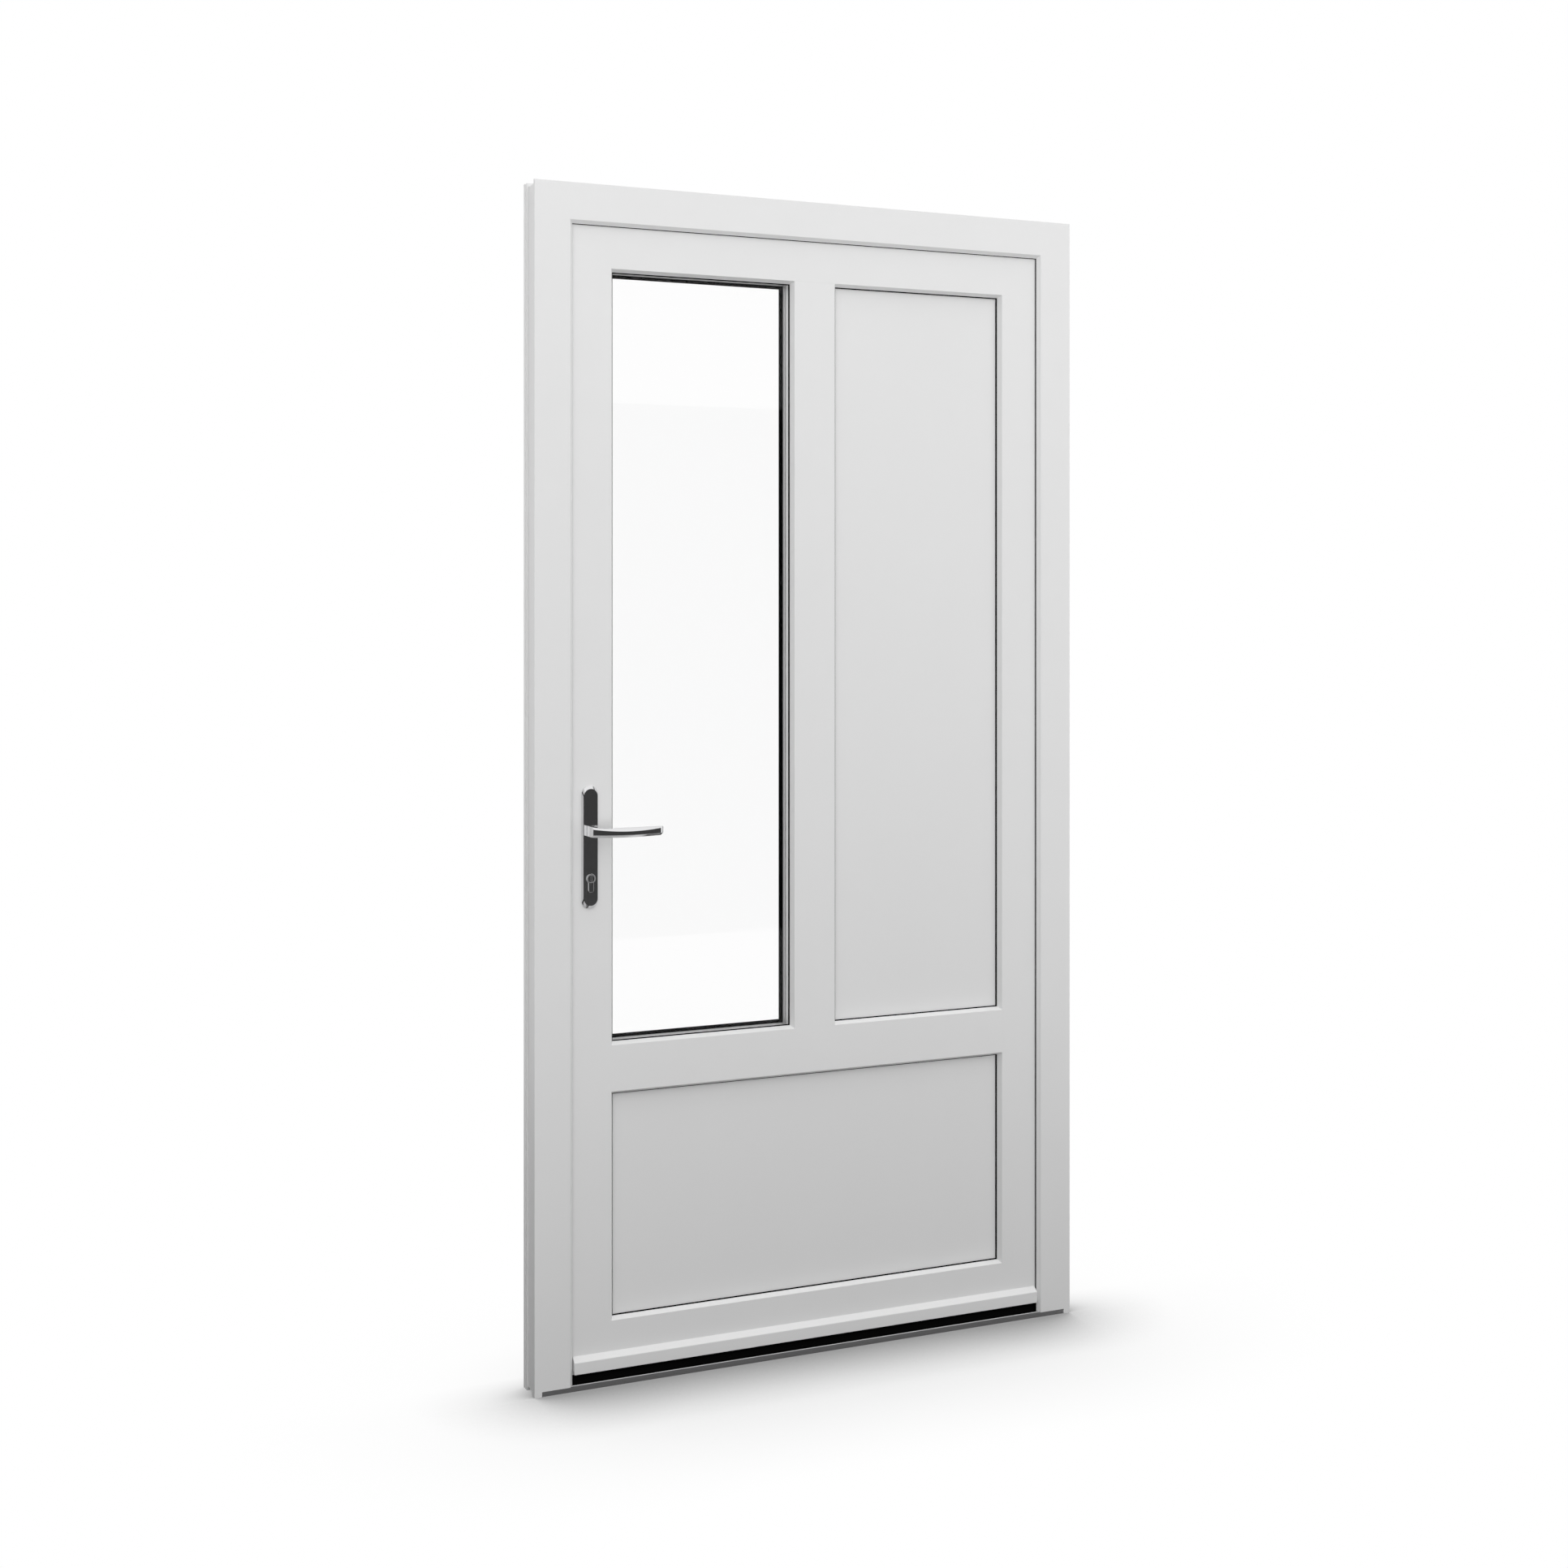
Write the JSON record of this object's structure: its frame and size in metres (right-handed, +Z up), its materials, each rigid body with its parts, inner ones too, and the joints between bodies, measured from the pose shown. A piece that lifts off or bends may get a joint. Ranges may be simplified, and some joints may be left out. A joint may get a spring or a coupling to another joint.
{
  "type": "front door",
  "caption": "Plastic front door that opens inwards in its frame, with a tall glazed light, flat panels, lever handles and a low threshold.",
  "frame": {"origin": "on the underside of the threshold, at mid width and mid depth of the frame", "axes": "+X across the door, from the lock side to the hinge side as seen from outside; +Y from outside to inside; +Z up"},
  "size_m": [1.1, 0.156, 2.14],
  "materials": {
    "white_plastic": "smooth white window plastic, satin gloss",
    "white_panel": "smooth white plastic skin on an insulated panel",
    "black_rubber": "matt black rubber seal",
    "clear_glass": "clear float glass",
    "spacer_metal": "bright aluminium spacer",
    "sill_metal": "satin anodised aluminium",
    "sill_black": "matt black plastic",
    "handle_metal": "polished metal",
    "lock_metal": "satin steel",
    "hinge_white": "white powder coat"
  },
  "bodies": {
    "frame": {"frame_jamb_left": "white_plastic", "frame_jamb_right": "white_plastic", "frame_head": "white_plastic", "jamb_foot_left": "white_plastic", "jamb_foot_right": "white_plastic", "threshold_lip": "sill_metal", "threshold_core": "sill_black", "threshold_inner_rail": "sill_metal", "frame_gasket": "black_rubber", "strike_plate": "lock_metal", "hinge_frame_parts": "hinge_white"},
    "leaf": {"stile_left": "white_plastic", "stile_right": "white_plastic", "rail_top": "white_plastic", "rail_bottom": "white_plastic", "transom": "white_plastic", "mullion": "white_plastic", "leaf_seal": "black_rubber", "bottom_seal": "black_rubber", "weather_bar": "white_plastic", "glass_outer": "clear_glass", "glass_middle": "clear_glass", "glass_inner": "clear_glass", "spacer_outer": "spacer_metal", "spacer_inner": "spacer_metal", "glass_gasket_outer": "black_rubber", "glass_gasket_inner": "black_rubber", "bead_glass": "white_plastic", "panel_upper": "white_panel", "panel_upper_gaskets": "black_rubber", "panel_upper_bead": "white_plastic", "panel_lower": "white_panel", "panel_lower_gaskets": "black_rubber", "panel_lower_bead": "white_plastic", "handle_plate_outside": "handle_metal", "handle_plate_inside": "handle_metal", "lock_cylinder": "handle_metal", "lock_faceplate": "lock_metal", "lock_bolts": "lock_metal", "hinge_leaf_parts": "hinge_white"},
    "lever_set": {"lever_outside": "handle_metal", "lever_inside": "handle_metal", "spindle": "lock_metal"},
    "key_plug": {"plug_outside": "handle_metal"}
  },
  "joints": [
    {"name": "leaf_hinge", "type": "hinge", "parent": "frame", "child": "leaf", "pos_m": [0.5215, 0.052, 1.06], "axis": [0, 0, -1], "range_deg": [0, 100]},
    {"name": "lever_turn", "type": "hinge", "parent": "leaf", "child": "lever_set", "pos_m": [-0.4445, -0.02, 0.991], "axis": [0, 1, 0], "range_deg": [0, 40], "stiffness_Nm_per_rad": 1.5, "springref_deg": -28.65},
    {"name": "plug_turn", "type": "hinge", "parent": "leaf", "child": "key_plug", "pos_m": [-0.4445, -0.03, 0.906], "axis": [0, 1, 0], "continuous": true}
  ]
}
